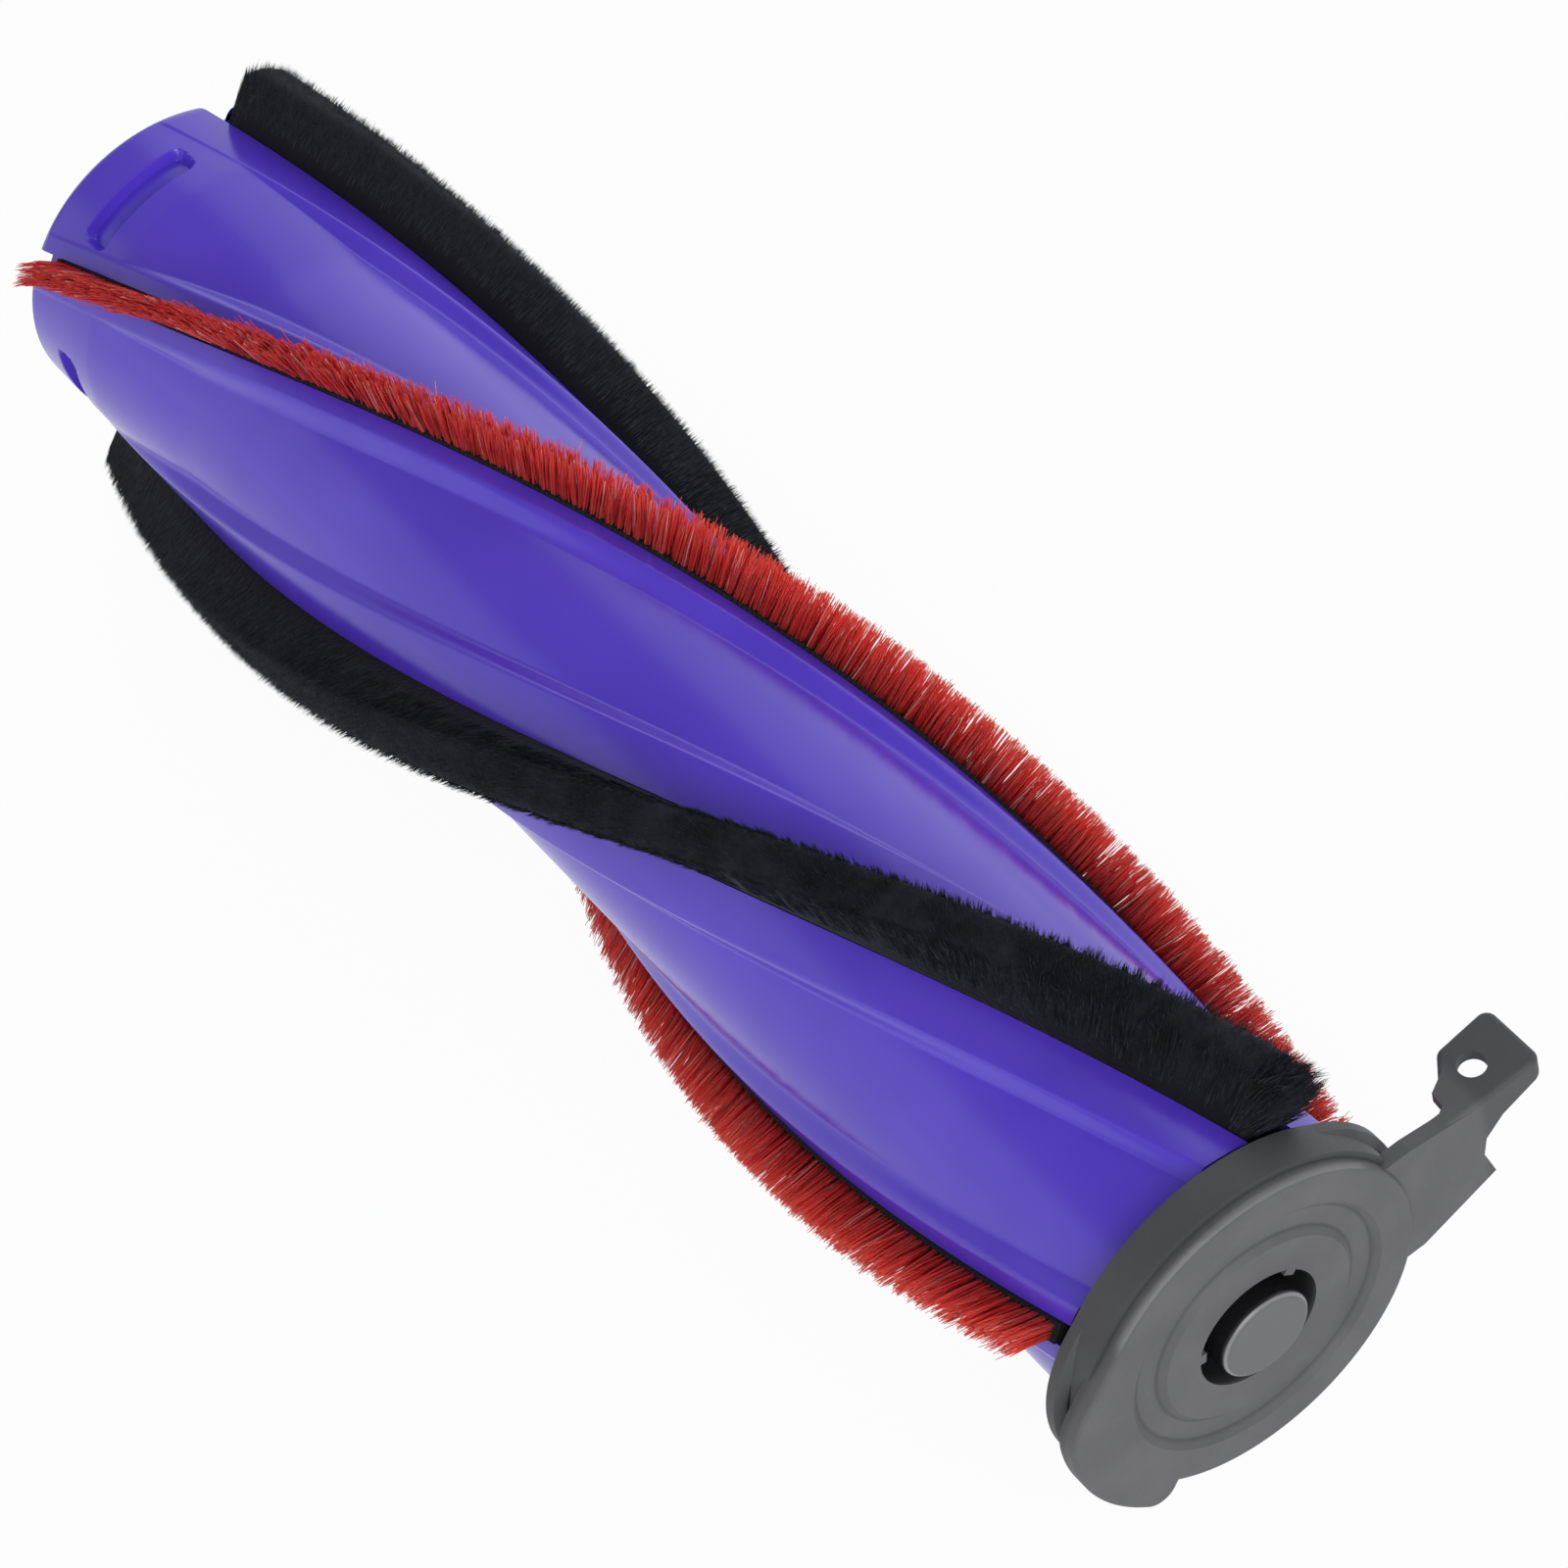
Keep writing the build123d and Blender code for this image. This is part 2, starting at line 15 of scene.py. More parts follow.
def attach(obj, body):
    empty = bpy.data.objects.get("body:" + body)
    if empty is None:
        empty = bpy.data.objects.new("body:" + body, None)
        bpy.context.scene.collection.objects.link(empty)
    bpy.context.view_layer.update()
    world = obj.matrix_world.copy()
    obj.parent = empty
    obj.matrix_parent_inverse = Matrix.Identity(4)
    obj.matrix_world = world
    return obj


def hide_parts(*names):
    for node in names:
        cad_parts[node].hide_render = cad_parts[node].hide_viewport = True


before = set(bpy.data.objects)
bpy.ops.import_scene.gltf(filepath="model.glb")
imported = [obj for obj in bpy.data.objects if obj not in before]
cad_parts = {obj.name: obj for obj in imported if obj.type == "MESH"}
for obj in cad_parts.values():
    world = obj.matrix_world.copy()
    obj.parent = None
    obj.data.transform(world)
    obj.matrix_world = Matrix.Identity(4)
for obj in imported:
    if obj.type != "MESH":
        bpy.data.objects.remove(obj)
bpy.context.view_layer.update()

# %% [markdown]
# ## Sizes shared by the pieces
# The tube and all four strips follow one helix, so the values that make it are kept together. They
# are the CAD part's own values, in millimetres, with X along the roller from the open drive rim.

# %% Helix and section values
MM = 0.001
TWIST = -0.8025
START_ANGLE = 55.9
STRIP_START = 5.4
STRIP_END = 216.6
TUBE_END = 217.6
LAND_R = 22.0
VALLEY_R = 20.1
CARBON = dict(turns=(0, 180), land=24.0, flank=5.5, slot=8.4, neck=6.4)
NYLON = dict(turns=(90, 270), land=9.5, flank=7.5, slot=5.4, neck=3.2)


def angle_at(x, turn):
    """Angle of a strip round the roller, in radians, at x millimetres from the drive rim."""
    return np.radians(START_ANGLE + turn + TWIST * x)


def on_strip(x, out, across, turn):
    """Points in metres, from distances along the roller, out from its axis and across a strip."""
    a = angle_at(x, turn)
    y = out * np.cos(a) - across * np.sin(a)
    z = out * np.sin(a) + across * np.cos(a)
    return np.stack((x, y, z), axis=-1) * MM


print("helix turns", round(TWIST * TUBE_END, 1), "degrees over the tube")

# %% [markdown]
# ## Camera
# The photograph was taken from the cap's end with a long lens. The camera's place and turn were
# found by fitting it to the ellipses of the cap, the rim and the strips' tips. Its three axes are
# written out, because a matrix says more exactly how the camera stands than angles do.

# %% Camera
camera_data = bpy.data.cameras.new("camera")
camera_data.lens = 139.66
camera_data.sensor_width = 36
camera_data.clip_start = 0.05
camera = bpy.data.objects.new("camera", camera_data)
bpy.context.scene.collection.objects.link(camera)
RIGHT = Vector((0.58582, 0.79086, -0.17707))
UP = Vector((-0.57694, 0.5604, 0.59422))
BACK = Vector((0.56918, -0.24594, 0.78457))
stand = Matrix((RIGHT, UP, BACK)).transposed().to_4x4()
stand.translation = Vector((0.53909, -0.17145, 0.56671))
camera.matrix_world = stand
bpy.context.scene.camera = camera
bpy.context.scene.view_settings.view_transform = "Standard"
print("camera stands", round(stand.translation.length, 3), "m from the drive rim")

# %% [markdown]
# ## A small language for shaders
# A finish is a sum of patterns, so it reads best as a sum. The class below wraps one socket, and
# adding or multiplying two of them adds the Math node that does it. One method makes every other
# kind of node, and another takes a second output from a node that is already there.


# %% Sockets that can be added and multiplied
class Socket:
    """One output of a node tree, written into expressions."""

    def __init__(self, tree, port=None):
        self.tree = tree
        self.port = port

    def node(self, kind, inputs, out=0, **settings):
        """Any node: its type, the values or links of its sockets, and its settings."""
        made = self.tree.nodes.new(kind)
        for name, value in settings.items():
            setattr(made, name, value)
        for key, value in inputs.items():
            if isinstance(value, Socket):
                self.tree.links.new(value.port, made.inputs[key])
            else:
                made.inputs[key].default_value = value
        return Socket(self.tree, made.outputs[out])

    def also(self, out):
        """Another output of the node that this one comes from."""
        return Socket(self.tree, self.port.node.outputs[out])

    def maths(self, operation, first, second):
        """Math node on two values or sockets."""
        return self.node("ShaderNodeMath", {0: first, 1: second}, operation=operation)

    def __add__(self, other):
        return self.maths("ADD", self, other)

    def __radd__(self, other):
        return self.maths("ADD", other, self)

    def __sub__(self, other):
        return self.maths("SUBTRACT", self, other)

    def __rsub__(self, other):
        return self.maths("SUBTRACT", other, self)

    def __mul__(self, other):
        return self.maths("MULTIPLY", self, other)

    def __rmul__(self, other):
        return self.maths("MULTIPLY", other, self)

    def step(self, low, high):
        """Soft step from 0 at low to 1 at high."""
        return self.node(
            "ShaderNodeMapRange",
            {"Value": self, "From Min": low, "From Max": high},
            interpolation_type="SMOOTHSTEP",
        )

    def mix(self, first, second):
        """Colour between two, chosen by this value."""
        return self.node(
            "ShaderNodeMix", {0: self, 6: first, 7: second}, out=2, data_type="RGBA"
        )


def rgb(red, green, blue):
    """Colour with full alpha."""
    return (red, green, blue, 1.0)


# %% Starting and closing a finish
def new_finish(name):
    """Empty material with its tree's root socket, its Principled shader and Object coordinates."""
    material = bpy.data.materials.new(name)
    material.use_nodes = True
    tree = material.node_tree
    shader = tree.nodes["Principled BSDF"]
    root = Socket(tree)
    place = root.node("ShaderNodeTexCoord", {}, out="Object")
    return material, root, shader, place


def plug(root, shader, **inputs):
    """Values and links into the shader, by the name of each input with underscores for spaces."""
    for name, value in inputs.items():
        port = shader.inputs[name.replace("_", " ")]
        if isinstance(value, Socket):
            root.tree.links.new(value.port, port)
        else:
            port.default_value = value


def axes(root, place):
    """Distances along X, Y and Z."""
    along = root.node("ShaderNodeSeparateXYZ", {0: place}, out="X")
    return along, along.also("Y"), along.also("Z")


def noise(root, place, scale, detail=3.0, roughness=0.55):
    """Plain noise of one scale, in patterns per metre."""
    return root.node(
        "ShaderNodeTexNoise",
        {"Vector": place, "Scale": scale, "Detail": detail, "Roughness": roughness},
    )


def bump(root, height, strength, distance):
    """Small relief of the surface."""
    return root.node(
        "ShaderNodeBump", {"Strength": strength, "Distance": distance, "Height": height}
    )


print("shader language ready")

# %% [markdown]
# ## Floor and light
# The photograph is cut out on white. A white floor under the roller gives the same ground and
# keeps a faint shadow. Only the rays that look at it or mirror it see it glow, so it stays white
# without more light on the roller. Three soft lamps stand round it: one at the cap's end and one
# on each side behind the drive end, which are what the tube's gloss reflects. The sky between
# them is darker overhead and on the left, as a studio is, and that shades the tube's flanks.

# %% Floor
FLOOR_SIZE, FLOOR_Z, FLOOR_GLOW = 6, -0.0321, 0.95
MIDDLE_X = 0.11
bpy.ops.object.select_all(action="DESELECT")
bpy.ops.mesh.primitive_plane_add(size=FLOOR_SIZE, location=(MIDDLE_X, 0, FLOOR_Z))
bpy.ops.object.transform_apply(location=True, rotation=True, scale=True)
floor = bpy.context.object
floor.name = "floor"
white, root, shader, place = new_finish("white_ground")
plug(root, shader, Base_Color=rgb(0.86, 0.86, 0.86), Roughness=0.9, Specular_IOR_Level=0.1)
seen = root.node("ShaderNodeLightPath", {}, out="Is Camera Ray")
gloss, through = seen.also("Is Glossy Ray"), seen.also("Is Transmission Ray")
glow = root.maths("MINIMUM", seen + gloss + through, 1.0)
light = root.node("ShaderNodeEmission", {"Color": rgb(1, 1, 1), "Strength": 1.0})
body = Socket(root.tree, shader.outputs[0])
ground = root.node("ShaderNodeMixShader", {0: glow * FLOOR_GLOW, 1: body, 2: light})
root.tree.links.new(ground.port, root.tree.nodes["Material Output"].inputs[0])
floor.data.materials.append(white)
print("floor lies", round(-FLOOR_Z * 1000, 1), "mm below the axis")


# %% Lamps
def soft_lamp(name, place, size, power):
    """Square softbox that looks at the middle of the roller."""
    lamp = bpy.data.lights.new(name, "AREA")
    lamp.size = size
    lamp.energy = power
    holder = bpy.data.objects.new(name, lamp)
    bpy.context.scene.collection.objects.link(holder)
    aim = Vector((MIDDLE_X, 0, 0)) - Vector(place)
    holder.location = place
    holder.rotation_euler = aim.to_track_quat("-Z", "Y").to_euler()
    print(name, "stands", round(aim.length, 2), "m away")


soft_lamp("lamp_cap_end", (1.06, -0.28, 0.60), 0.9, 8.5)
soft_lamp("lamp_left", (-0.45, -0.85, 0.26), 0.9, 1.3)
soft_lamp("lamp_right", (-0.40, 0.90, 0.36), 1.6, 5.0)

# %% World
world = bpy.data.worlds.new("studio")
bpy.context.scene.world = world
world.use_nodes = True
sky = Socket(world.node_tree)
direction = sky.node("ShaderNodeTexCoord", {}, out="Generated")
_, side, height = axes(sky, direction)
horizon = side.step(-0.7, 0.5).mix(rgb(0.46, 0.46, 0.48), rgb(0.80, 0.80, 0.82))
shade = height.step(0.25, 0.95).mix(horizon, rgb(0.28, 0.28, 0.30))
camera_ray = sky.node("ShaderNodeLightPath", {}, out="Is Camera Ray")
shade = camera_ray.mix(shade, rgb(1, 1, 1))
background = world.node_tree.nodes["Background"]
world.node_tree.links.new(shade.port, background.inputs[0])
background.inputs[1].default_value = 1.0
print("studio sky is up")

# %% [markdown]
# ## Tube
# The tube is an injection moulding: four raised lands carry the strips, with valleys between, and
# at the drive end the valleys run out into a round collar with snap pockets. It starts as a flat
# grid that is rolled up twice: once round the axis, and once along the wall, out over the rim and
# back through the bore. Each row becomes one line along the helix, which keeps every crease of the
# moulding on a line of the mesh, and the gloss unbroken. Where the edges meet they are merged.

# %% Lines round the tube's section
COLLAR_R, COLLAR_X, RUNOUT_X = 21.85, 15.0, 40.0
SLOT_FLOOR, SLOT_SHOULDER = 18.7, 20.55
LAND_GAP, FLANK_GAP, VALLEY_GAP, FLANK_MARGIN = 1.1, 0.45, 1.0, 0.6


def quarter_lines(before, after):
    """Turns of the lines between two strips' slots, closer together on the flanks."""
    start = degrees(asin(before["neck"] / 2 / LAND_R))
    end = 90 - degrees(asin(after["neck"] / 2 / LAND_R))
    drop = before["land"] - FLANK_MARGIN
    low = before["land"] + before["flank"] + FLANK_MARGIN
    rise = 90 - FLANK_MARGIN - after["land"] - after["flank"]
    top = 90 + FLANK_MARGIN - after["land"]
    spans = (
        (start, drop, LAND_GAP),
        (drop, low, FLANK_GAP),
        (low, rise, VALLEY_GAP),
        (rise, top, FLANK_GAP),
        (top, end, LAND_GAP),
    )
    lines = [np.linspace(a, b, round((b - a) / gap) + 1)[:-1] for a, b, gap in spans]
    return np.concatenate((*lines, [end]))


def slot_lines(strip):
    """Corners of a T-slot from one side to the other, as turn and radius."""
    half, wide = strip["neck"] / 2, strip["slot"] / 2
    side = ((SLOT_SHOULDER, half), (SLOT_SHOULDER, wide), (SLOT_FLOOR, wide), (SLOT_FLOOR, half))
    corners = [(out, -b) for out, b in side] + [(out, b) for out, b in reversed(side)]
    return [(degrees(atan2(b, out)), hypot(out, b)) for out, b in corners]


turns, slot_r = [], []
for k in range(4):
    before, after = (CARBON, NYLON) if k % 2 == 0 else (NYLON, CARBON)
    for turn, radius in slot_lines(before):
        turns.append(90 * k + turn)
        slot_r.append(radius)
    for turn in quarter_lines(before, after):
        turns.append(90 * k + turn)
        slot_r.append(0.0)
turns, slot_r = np.array(turns), np.array(slot_r)
print(len(turns), "lines round the section")

# %% Height of the moulding
POCKET_X, POCKET_TURN, POCKET_LENGTH, POCKET_WIDTH, POCKET_FLOOR = 9.2, 55.0, 16.6, 4.2, 20.35
POCKET_CORNER, POCKET_EDGE, POCKET_SLOPE = 1.2, 0.12, 0.4
CONE_DROP, CONE_REACH, CONE_BLEND, CONE_SINK = 0.4, 4, 0.12, 0.03
RIM_ROUND = 2.2


def ease(t):
    """Smooth step of a value held between 0 and 1."""
    t = np.clip(t, 0, 1)
    return t * t * (3 - 2 * t)


def smooth_max(a, b, soft):
    """The larger of two heights, blended where they are nearly level."""
    return (a + b + np.sqrt((a - b) ** 2 + soft * soft)) / 2


def outer_radius(x, turn):
    """Outer radius of the moulding on a grid of stations and lines."""
    within = (turn + 45) % 180 - 45
    fall_carbon = ease((np.abs(within) - CARBON["land"]) / CARBON["flank"])
    fall_nylon = ease((np.abs(within - 90) - NYLON["land"]) / NYLON["flank"])
    fall = np.minimum(fall_carbon, fall_nylon)
    radius = LAND_R - (LAND_R - VALLEY_R) * fall
    slope = (COLLAR_R - VALLEY_R + CONE_DROP) / (RUNOUT_X - COLLAR_X)
    cone = COLLAR_R - np.clip(x - COLLAR_X, 0, None) * slope
    eased = smooth_max(radius, cone, CONE_BLEND) - CONE_SINK * fall
    radius = np.where(x < RUNOUT_X + CONE_REACH, eased, radius)
    angle = np.degrees(angle_at(x, turn))
    for k in range(4):
        middle = np.degrees(angle_at(POCKET_X, POCKET_TURN + 90 * k))
        off = np.radians((angle - middle + 180) % 360 - 180)
        chord = COLLAR_R * np.where(np.abs(off) < pi / 2, np.sin(off), 1.0)
        length = np.abs(chord) - POCKET_LENGTH / 2 + POCKET_CORNER
        width = np.abs(x - POCKET_X) - POCKET_WIDTH / 2 + POCKET_CORNER
        edge = np.hypot(np.maximum(length, 0), np.maximum(width, 0)) - POCKET_CORNER
        inside = edge + np.minimum(np.maximum(length, width), 0)
        radius = radius + (POCKET_FLOOR - radius) * ease((POCKET_EDGE - inside) / POCKET_SLOPE)
    rim = LAND_R - RIM_ROUND + np.sqrt(RIM_ROUND**2 - np.clip(RIM_ROUND - x, 0, None) ** 2)
    return np.minimum(radius, rim)


print("pocket floor lies", round(COLLAR_R - POCKET_FLOOR, 2), "mm below the collar")

# %% Stations along the wall
POCKET_FROM, POCKET_TO, HELIX_FROM = 6.7, 11.8, RUNOUT_X + 6
rim_arc = RIM_ROUND * (1 - np.cos(np.linspace(0, pi / 2, 9)))
outer_x = np.concatenate((
    rim_arc[:-1],
    np.arange(RIM_ROUND, POCKET_FROM, 0.6),
    np.arange(POCKET_FROM, POCKET_TO, 0.17),
    np.arange(POCKET_TO, COLLAR_X, 0.7),
    np.arange(COLLAR_X, HELIX_FROM, 1.2),
    np.linspace(HELIX_FROM, TUBE_END, 70),
))
SPIGOT_R, SPIGOT_END, SPIGOT_EDGE = 19.5, 220.4, 0.6
BORE_R, MOUTH_R, MOUTH_DEPTH, MOUTH_EDGE = 16.8, 17.2, 50.0, 0.5
inner = [(TUBE_END, SPIGOT_R), (SPIGOT_END - SPIGOT_EDGE, SPIGOT_R)]
inner += [(SPIGOT_END, SPIGOT_R - SPIGOT_EDGE), (SPIGOT_END, BORE_R)]
inner += [(x, BORE_R) for x in np.linspace(216, MOUTH_DEPTH, 18)]
inner += [(x, MOUTH_R) for x in np.linspace(MOUTH_DEPTH, MOUTH_EDGE, 8)]
inner += [(0.0, MOUTH_R + MOUTH_EDGE)]
inner = np.array(inner)
print(len(outer_x) + len(inner), "stations along the wall")

# %% Tube from a grid
CREASE_ANGLE = radians(38)
bpy.ops.object.select_all(action="DESELECT")
bpy.ops.mesh.primitive_grid_add(
    x_subdivisions=len(outer_x) + len(inner), y_subdivisions=len(turns), size=0.1
)
tube = bpy.context.object
tube.name = "tube_moulding"
line_turn, station_x = np.meshgrid(turns, outer_x, indexing="ij")
wall_r = outer_radius(station_x, line_turn)
wall_r = np.where(slot_r[:, None] > 0, np.minimum(slot_r[:, None], wall_r), wall_r)
bore_x = np.broadcast_to(inner[:, 0], (len(turns), len(inner)))
bore_r = np.broadcast_to(inner[:, 1], bore_x.shape)
wall_x = np.concatenate((station_x, bore_x), axis=1)
wall_r = np.concatenate((wall_r, bore_r), axis=1)
wall_turn = np.broadcast_to(turns[:, None], wall_x.shape)
points = on_strip(wall_x, wall_r, 0 * wall_x, wall_turn)
points = np.concatenate((points, points[:, :1]), axis=1)
points = np.concatenate((points, points[:1]), axis=0)
tube.data.vertices.foreach_set("co", points.reshape(-1))
bpy.ops.object.mode_set(mode="EDIT")
bpy.ops.mesh.select_all(action="SELECT")
bpy.ops.mesh.remove_doubles(threshold=1e-6)
bpy.ops.mesh.normals_make_consistent(inside=False)
bpy.ops.object.mode_set(mode="OBJECT")
bpy.ops.object.shade_smooth_by_angle(angle=CREASE_ANGLE)
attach(tube, "roller")
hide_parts("roller_tube")
print("tube has", len(tube.data.polygons), "faces")

# %% [markdown]
# ## Purple plastic
# The moulding is a deep violet with a soft gloss. Its colour drifts a little from flow in the
# mould, its polish varies in broad clouds, and a very fine ripple breaks the reflections.

# %% Purple plastic finish
purple, root, shader, place = new_finish("purple_plastic")
flow = noise(root, place, 45, detail=2.0)
polish = noise(root, place, 160, detail=4.0)
ripple = noise(root, place, 900, detail=2.0)
tint = flow.step(0.3, 0.7).mix(rgb(0.084, 0.039, 0.560), rgb(0.098, 0.047, 0.605))
plug(
    root, shader,
    Base_Color=tint, Roughness=0.16 + polish * 0.12, Specular_IOR_Level=0.55,
    Normal=bump(root, ripple, 0.04, 0.0002),
)
tube.data.materials.clear()
tube.data.materials.append(purple)
print("purple plastic on", tube.name)

# %% [markdown]
# ## Two filaments
# A bristle is a thin tapered rod: a three-sided cone, cut once so that it can bend. A fibre of the
# soft pile is a cone that comes to a point. Each is modelled once and then stamped thousands of
# times. Each copy gets its own root, direction, length, thickness and bend, and two values that its
# finish reads: how far up the filament a point is, and a number that is the filament's own.


# %% Filament prototypes
def filament(tip, cuts):
    """Points and faces of a three-sided cone of unit height, cut at the heights given."""
    bpy.ops.object.select_all(action="DESELECT")
    bpy.ops.mesh.primitive_cone_add(
        vertices=3, radius1=0.5, radius2=tip, depth=1, end_fill_type="NGON", location=(0, 0, 0.5)
    )
    bpy.ops.object.transform_apply(location=True, rotation=True, scale=True)
    cone = bpy.context.object
    bpy.ops.object.mode_set(mode="EDIT")
    for height in cuts:
        bpy.ops.mesh.select_all(action="SELECT")
        bpy.ops.mesh.bisect(plane_co=(0, 0, height), plane_no=(0, 0, 1))
    bpy.ops.object.mode_set(mode="OBJECT")
    points = np.array([v.co for v in cone.data.vertices])
    faces = [tuple(p.vertices) for p in cone.data.polygons]
    bpy.data.objects.remove(cone)
    print("filament with", len(points), "points and", len(faces), "faces")
    return points, faces


bristle = filament(tip=0.16, cuts=(0.55,))
fibre = filament(tip=0.0, cuts=())


# %% Stamping filaments
def stamp(name, prototype, root_point, tip_point, bow, width, seeds):
    """One mesh of many filaments, each from its root to its tip with a bow in between."""
    rod, rod_faces = prototype
    count = len(root_point)
    run = tip_point - root_point
    reach = np.linalg.norm(run, axis=1, keepdims=True)
    run_dir = run / reach
    side = np.cross(run_dir, np.array((1.0, 0.0, 0.0)))
    side /= np.linalg.norm(side, axis=1, keepdims=True)
    spin = seeds[:, None] * 2 * pi
    other = np.cross(run_dir, side)
    first = side * np.cos(spin) + other * np.sin(spin)
    second = other * np.cos(spin) - side * np.sin(spin)
    up = rod[:, 2][None, :, None]
    wide = width[:, None, None]
    points = (
        root_point[:, None, :] + run[:, None, :] * up + bow[:, None, :] * (up * (1 - up) * 4)
        + wide * (rod[:, 0][None, :, None] * first[:, None, :]
                  + rod[:, 1][None, :, None] * second[:, None, :])
    )
    sizes = np.array([len(f) for f in rod_faces])
    corners = np.concatenate([np.array(f) for f in rod_faces])
    loops = (corners[None, :] + np.arange(count)[:, None] * len(rod)).reshape(-1)
    starts = np.concatenate(([0], np.cumsum(np.tile(sizes, count))[:-1]))
    mesh = bpy.data.meshes.new(name)
    mesh.vertices.add(count * len(rod))
    mesh.loops.add(len(loops))
    mesh.polygons.add(count * len(rod_faces))
    mesh.vertices.foreach_set("co", points.reshape(-1))
    mesh.loops.foreach_set("vertex_index", loops)
    mesh.polygons.foreach_set("loop_start", starts)
    mesh.polygons.foreach_set("use_smooth", np.ones(len(starts), bool))
    mesh.update(calc_edges=True)
    own = mesh.attributes.new("strand", "FLOAT", "POINT")
    own.data.foreach_set("value", np.repeat(seeds, len(rod)).astype(np.float32))
    level = mesh.attributes.new("level", "FLOAT", "POINT")
    level.data.foreach_set("value", np.tile(rod[:, 2], count).astype(np.float32))
    made = bpy.data.objects.new(name, mesh)
    bpy.context.scene.collection.objects.link(made)
    return made


def filament_values(root):
    """The filament's own number, and how far up it a point is."""
    names = ("strand", "level")
    return [root.node("ShaderNodeAttribute", {}, out="Fac", attribute_name=n) for n in names]


# %% [markdown]
# ## Red bristles
# The stiff strips are short red nylon bristles set in tufts on a black spine. Seen from the side
# they make fine rows with pale gaps where light comes through. Each tuft leans its own way and
# spreads towards its tips, and a few bristles stand out from the rest. Nylon lets light in, so
# the finish scatters it under the surface, which makes the rows glow red. The bristles are
# painted darker towards the drive end and at their roots, as painted shade, and a few are paler
# than their neighbours.

# %% Red bristle strips
NYLON_ROOT, NYLON_TIP = 22.25, 28.6
TUFT_PITCH, TUFT_BRISTLES = 1.3, 44
TUFT_HALF_LENGTH, TUFT_HALF_WIDTH = 0.46, 1.25
STRAY_SHARE, STRAY_SPREAD = 0.05, 2.5
RED_SEED = 11


def bristle_strip(name, turn, seed):
    """Stiff strip: tufts along the helix, bristles spreading from each."""
    rng = np.random.default_rng(seed)
    tufts = np.arange(STRIP_START + 0.7, STRIP_END - 0.4, TUFT_PITCH)
    tufts = tufts + rng.normal(0, 0.08, len(tufts))
    count = len(tufts) * TUFT_BRISTLES
    centre = np.repeat(tufts, TUFT_BRISTLES)
    lean_x = np.repeat(rng.normal(0, 0.30, len(tufts)), TUFT_BRISTLES)
    lean_b = np.repeat(rng.normal(0, 0.22, len(tufts)), TUFT_BRISTLES)
    off_x = rng.uniform(-TUFT_HALF_LENGTH, TUFT_HALF_LENGTH, count)
    off_b = rng.uniform(-TUFT_HALF_WIDTH, TUFT_HALF_WIDTH, count)
    stray = (rng.random(count) < STRAY_SHARE) * 1.0
    spread = 1 + STRAY_SPREAD * stray
    root_x = np.clip(centre + off_x, STRIP_START + 0.15, STRIP_END - 0.15)
    tip_x = centre + off_x * 1.15 + lean_x + rng.normal(0, 0.18, count) * spread
    tip_b = off_b * 1.22 + lean_b + rng.normal(0, 0.16, count) * spread
    tip_out = NYLON_TIP + rng.normal(-0.15, 0.22, count) + 0.25 * stray
    tip_x = np.clip(tip_x, STRIP_START - 0.5, STRIP_END + 0.7)
    roots = on_strip(root_x, np.full(count, NYLON_ROOT), off_b, turn)
    tips = on_strip(tip_x, np.clip(tip_out, 27.2, 29.2), tip_b, turn)
    bow = rng.normal(0, 0.10, (count, 3)) * MM
    width = rng.uniform(0.22, 0.30, count) * MM
    strip = stamp(name, bristle, roots, tips, bow, width, rng.random(count))
    print(name, "has", count, "bristles")
    return strip


red_strips = []
for k, turn in enumerate(NYLON["turns"]):
    strip = bristle_strip(f"red_bristles_{k + 1}", turn, RED_SEED + k)
    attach(strip, "roller")
    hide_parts(f"nylon_bristles_{k + 1}")
    red_strips.append(strip)

# %% Red nylon finish
red, root, shader, place = new_finish("red_nylon")
own, level = filament_values(root)
along = axes(root, place)[0]
deep = own.mix(rgb(0.88, 0.012, 0.012), rgb(1.0, 0.050, 0.036))
# Painted shade: the bristles are painted darker towards the drive end.
deep = ((1 - along.step(0.02, 0.13)) * 0.65).mix(deep, rgb(0.30, 0.008, 0.012))
# Painted shade: each bristle is painted darker at its root, deep in the tuft.
foot = level.step(0.0, 0.2).mix(rgb(0.20, 0.002, 0.003), deep)
pale = own.step(0.94, 0.98).mix(foot, rgb(0.95, 0.30, 0.26))
plug(
    root, shader,
    Base_Color=pale, Roughness=0.34 + own * 0.15, Specular_IOR_Level=0.4,
    Sheen_Weight=0.5, Sheen_Roughness=0.5, Sheen_Tint=rgb(1.0, 0.10, 0.08),
    Subsurface_Weight=0.8, Subsurface_Radius=(1.0, 0.08, 0.06), Subsurface_Scale=0.002,
)
for strip in red_strips:
    strip.data.materials.append(red)
print("red nylon on", len(red_strips), "strips")

# %% [markdown]
# ## Black pile
# The soft strips are a dense pile of black fibres, as thick as velvet. A strip is made in two
# parts in one mesh: a solid heart with rounded shoulders, which is the outline of the section
# drawn along the helix, and a coat of fibres over its sides and top that gives the furry edge.
# The heart stops short of both ends, where a loose brush of fibres takes over, which fans out at
# the cap. On the strip that passes over the top there, the tips lean across towards the cap.

# %% Heart of a soft strip
CARBON_TIP = 31.0
HEART_TOP = 30.0
HEART_FOOT = 20.6
HEART_START, HEART_END = STRIP_START + 0.7, STRIP_END - 2.0
HEART_STEPS, HEART_SEED, HEART_LEVEL, LEVEL_FOOT = 170, 5, 0.6, 20
CAP_SWAY, SWAY_FROM, SWAY_FOOT, SWAY_TURN = 1.6, 120.0, 22, 180


